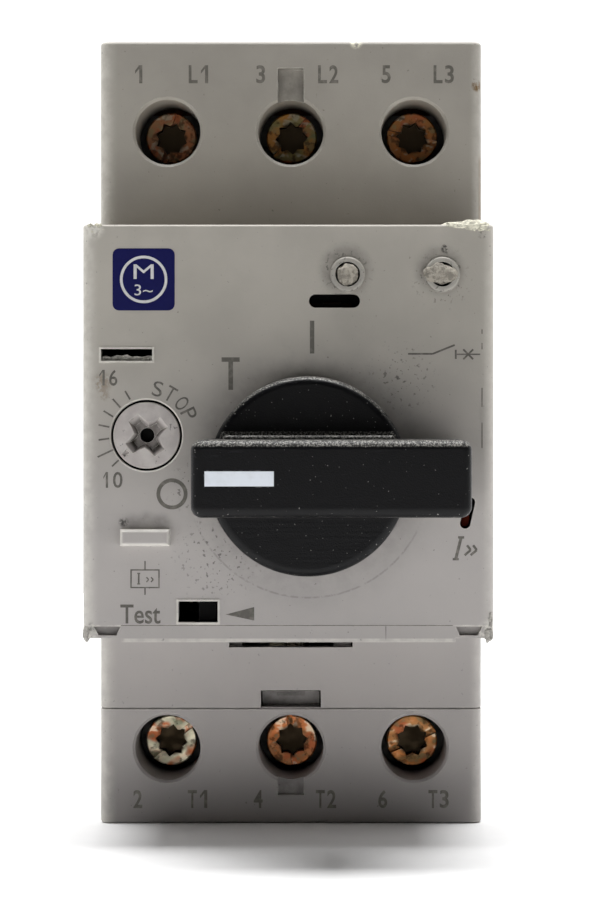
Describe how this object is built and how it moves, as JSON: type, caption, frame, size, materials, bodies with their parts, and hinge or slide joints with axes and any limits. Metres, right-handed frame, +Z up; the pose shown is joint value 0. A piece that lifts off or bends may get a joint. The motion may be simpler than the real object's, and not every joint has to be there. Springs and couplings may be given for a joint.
{
  "type": "motor protection circuit breaker",
  "caption": "Rail-mounted motor protection circuit breaker with rotary handle, trip setting dial, test slider, trip flag and recessed clamp terminals at both ends.",
  "frame": {"origin": "middle of the rail seat at the back", "axes": "+X to the right and +Z up as the front is seen, the front looks towards -Y, +Y into the rail"},
  "size_m": [0.045, 0.0795, 0.091],
  "materials": {
    "case_plastic": "fine moulded grain, warm grey",
    "knob_plastic": "satin black",
    "white_inlay": "white print",
    "seal_plastic": "rough cut plastic",
    "latch_plastic": "moulded, dark grey",
    "carrier_plastic": "moulded thermoset",
    "flag_plastic": "orange red",
    "slider_plastic": "moulded, near black",
    "bobbin_plastic": "moulded, cream",
    "screw_zinc": "yellow passivated zinc",
    "clamp_zinc": "bright zinc plate",
    "spring_steel": "drawn wire",
    "magnet_steel": "zinc plated steel",
    "copper": "bare copper",
    "contact_silver": "silver alloy",
    "bimetal": "rolled strip",
    "heater_glass": "wire sleeved in woven glass"
  },
  "bodies": {
    "case": {"rear_base": "case_plastic", "main_housing": "case_plastic", "load_terminal_housing": "case_plastic", "front_cover": "case_plastic", "seal_plugs": "seal_plastic", "line_bars": "copper", "coil_bars": "copper", "fixed_contact_tips": "contact_silver", "arc_plates": "magnet_steel", "magnet_coils": "copper", "coil_bobbins": "bobbin_plastic", "magnet_yokes": "magnet_steel", "load_bars": "copper", "bimetal_strips": "bimetal", "heater_windings": "heater_glass"},
    "knob": {"rotary_knob": "knob_plastic", "knob_pointer": "white_inlay", "drive_shaft": "carrier_plastic"},
    "carrier": {"contact_carrier": "carrier_plastic", "contact_bridges": "copper", "moving_contact_tips": "contact_silver", "contact_springs": "spring_steel", "opening_springs": "spring_steel"},
    "latch": {"rail_latch": "latch_plastic", "rail_latch_spring": "spring_steel"},
    "trip_slide": {"trip_slide": "bobbin_plastic"},
    "trip_lever": {"trip_lever": "bobbin_plastic"},
    "test_slider": {"test_slider": "slider_plastic"},
    "trip_flag": {"trip_flag": "flag_plastic"},
    "dial": {"setting_dial": "case_plastic"},
    "plunger_1": {"plunger_1": "magnet_steel"},
    "line_screw_1": {"line_screw_1": "screw_zinc"},
    "line_clamp_1": {"line_clamp_1": "clamp_zinc"},
    "load_screw_1": {"load_screw_1": "screw_zinc"},
    "load_clamp_1": {"load_clamp_1": "clamp_zinc"},
    "plunger_2": {"plunger_2": "magnet_steel"},
    "line_screw_2": {"line_screw_2": "screw_zinc"},
    "line_clamp_2": {"line_clamp_2": "clamp_zinc"},
    "load_screw_2": {"load_screw_2": "screw_zinc"},
    "load_clamp_2": {"load_clamp_2": "clamp_zinc"},
    "plunger_3": {"plunger_3": "magnet_steel"},
    "line_screw_3": {"line_screw_3": "screw_zinc"},
    "line_clamp_3": {"line_clamp_3": "clamp_zinc"},
    "load_screw_3": {"load_screw_3": "screw_zinc"},
    "load_clamp_3": {"load_clamp_3": "clamp_zinc"}
  },
  "joints": [
    {"name": "knob_turn", "type": "hinge", "parent": "case", "child": "knob", "pos_m": [0.0022, -0.058, -0.0046], "axis": [0, 1, 0], "range_deg": [0, 90]},
    {"name": "contact_slide", "type": "slide", "parent": "case", "child": "carrier", "axis": [0, 0, -1], "range_m": [0, 0.0034], "deforming": ["opening_springs"]},
    {"name": "rail_latch_slide", "type": "slide", "parent": "case", "child": "latch", "axis": [0, 0, -1], "range_m": [0, 0.0025], "stiffness_N_per_m": 1500, "springref_m": -0.001, "deforming": ["rail_latch_spring"]},
    {"name": "test_slide", "type": "slide", "parent": "case", "child": "test_slider", "axis": [-1, 0, 0], "range_m": [0, 0.002], "stiffness_N_per_m": 150, "springref_m": -0.0005},
    {"name": "trip_slide_move", "type": "slide", "parent": "case", "child": "trip_slide", "axis": [-1, 0, 0], "range_m": [0, 0.002]},
    {"name": "trip_lever_turn", "type": "hinge", "parent": "case", "child": "trip_lever", "pos_m": [0.0115, -0.03275, -0.009], "axis": [0, 1, 0], "range_deg": [0, 18.34]},
    {"name": "trip_flag_turn", "type": "hinge", "parent": "case", "child": "trip_flag", "pos_m": [0.0022, -0.052, -0.0046], "axis": [0, -1, 0], "range_deg": [0, 5]},
    {"name": "dial_turn", "type": "hinge", "parent": "case", "child": "dial", "pos_m": [-0.0155, -0.0578, -0.0002], "axis": [0, 1, 0], "range_deg": [0, 105]},
    {"name": "plunger_slide_1", "type": "slide", "parent": "case", "child": "plunger_1", "axis": [0, 0, 1], "range_m": [0, 0.002]},
    {"name": "line_screw_1_turn", "type": "hinge", "parent": "case", "child": "line_screw_1", "pos_m": [-0.01433, -0.033, 0.035], "axis": [0, 1, 0], "range_deg": [0, 2160]},
    {"name": "line_clamp_1_slide", "type": "slide", "parent": "case", "child": "line_clamp_1", "axis": [0, -1, 0], "range_m": [0, 0.0042]},
    {"name": "load_screw_1_turn", "type": "hinge", "parent": "case", "child": "load_screw_1", "pos_m": [-0.01433, -0.033, -0.0367], "axis": [0, 1, 0], "range_deg": [0, 2160]},
    {"name": "load_clamp_1_slide", "type": "slide", "parent": "case", "child": "load_clamp_1", "axis": [0, -1, 0], "range_m": [0, 0.0042]},
    {"name": "plunger_slide_2", "type": "slide", "parent": "case", "child": "plunger_2", "axis": [0, 0, 1], "range_m": [0, 0.002]},
    {"name": "line_screw_2_turn", "type": "hinge", "parent": "case", "child": "line_screw_2", "pos_m": [0, -0.033, 0.035], "axis": [0, 1, 0], "range_deg": [0, 2160]},
    {"name": "line_clamp_2_slide", "type": "slide", "parent": "case", "child": "line_clamp_2", "axis": [0, -1, 0], "range_m": [0, 0.0042]},
    {"name": "load_screw_2_turn", "type": "hinge", "parent": "case", "child": "load_screw_2", "pos_m": [0, -0.033, -0.0367], "axis": [0, 1, 0], "range_deg": [0, 2160]},
    {"name": "load_clamp_2_slide", "type": "slide", "parent": "case", "child": "load_clamp_2", "axis": [0, -1, 0], "range_m": [0, 0.0042]},
    {"name": "plunger_slide_3", "type": "slide", "parent": "case", "child": "plunger_3", "axis": [0, 0, 1], "range_m": [0, 0.002]},
    {"name": "line_screw_3_turn", "type": "hinge", "parent": "case", "child": "line_screw_3", "pos_m": [0.01433, -0.033, 0.035], "axis": [0, 1, 0], "range_deg": [0, 2160]},
    {"name": "line_clamp_3_slide", "type": "slide", "parent": "case", "child": "line_clamp_3", "axis": [0, -1, 0], "range_m": [0, 0.0042]},
    {"name": "load_screw_3_turn", "type": "hinge", "parent": "case", "child": "load_screw_3", "pos_m": [0.01433, -0.033, -0.0367], "axis": [0, 1, 0], "range_deg": [0, 2160]},
    {"name": "load_clamp_3_slide", "type": "slide", "parent": "case", "child": "load_clamp_3", "axis": [0, -1, 0], "range_m": [0, 0.0042]}
  ],
  "couplings": [
    {"joint": "contact_slide", "follows": "knob_turn", "m_per_rad": 0.0021645},
    {"joint": "trip_slide_move", "follows": "test_slide", "ratio": 1},
    {"joint": "trip_lever_turn", "follows": "test_slide", "rad_per_m": 160},
    {"joint": "line_screw_1_turn", "follows": "line_clamp_1_slide", "rad_per_m": 8976},
    {"joint": "load_screw_1_turn", "follows": "load_clamp_1_slide", "rad_per_m": 8976},
    {"joint": "line_screw_2_turn", "follows": "line_clamp_2_slide", "rad_per_m": 8976},
    {"joint": "load_screw_2_turn", "follows": "load_clamp_2_slide", "rad_per_m": 8976},
    {"joint": "line_screw_3_turn", "follows": "line_clamp_3_slide", "rad_per_m": 8976},
    {"joint": "load_screw_3_turn", "follows": "load_clamp_3_slide", "rad_per_m": 8976}
  ]
}
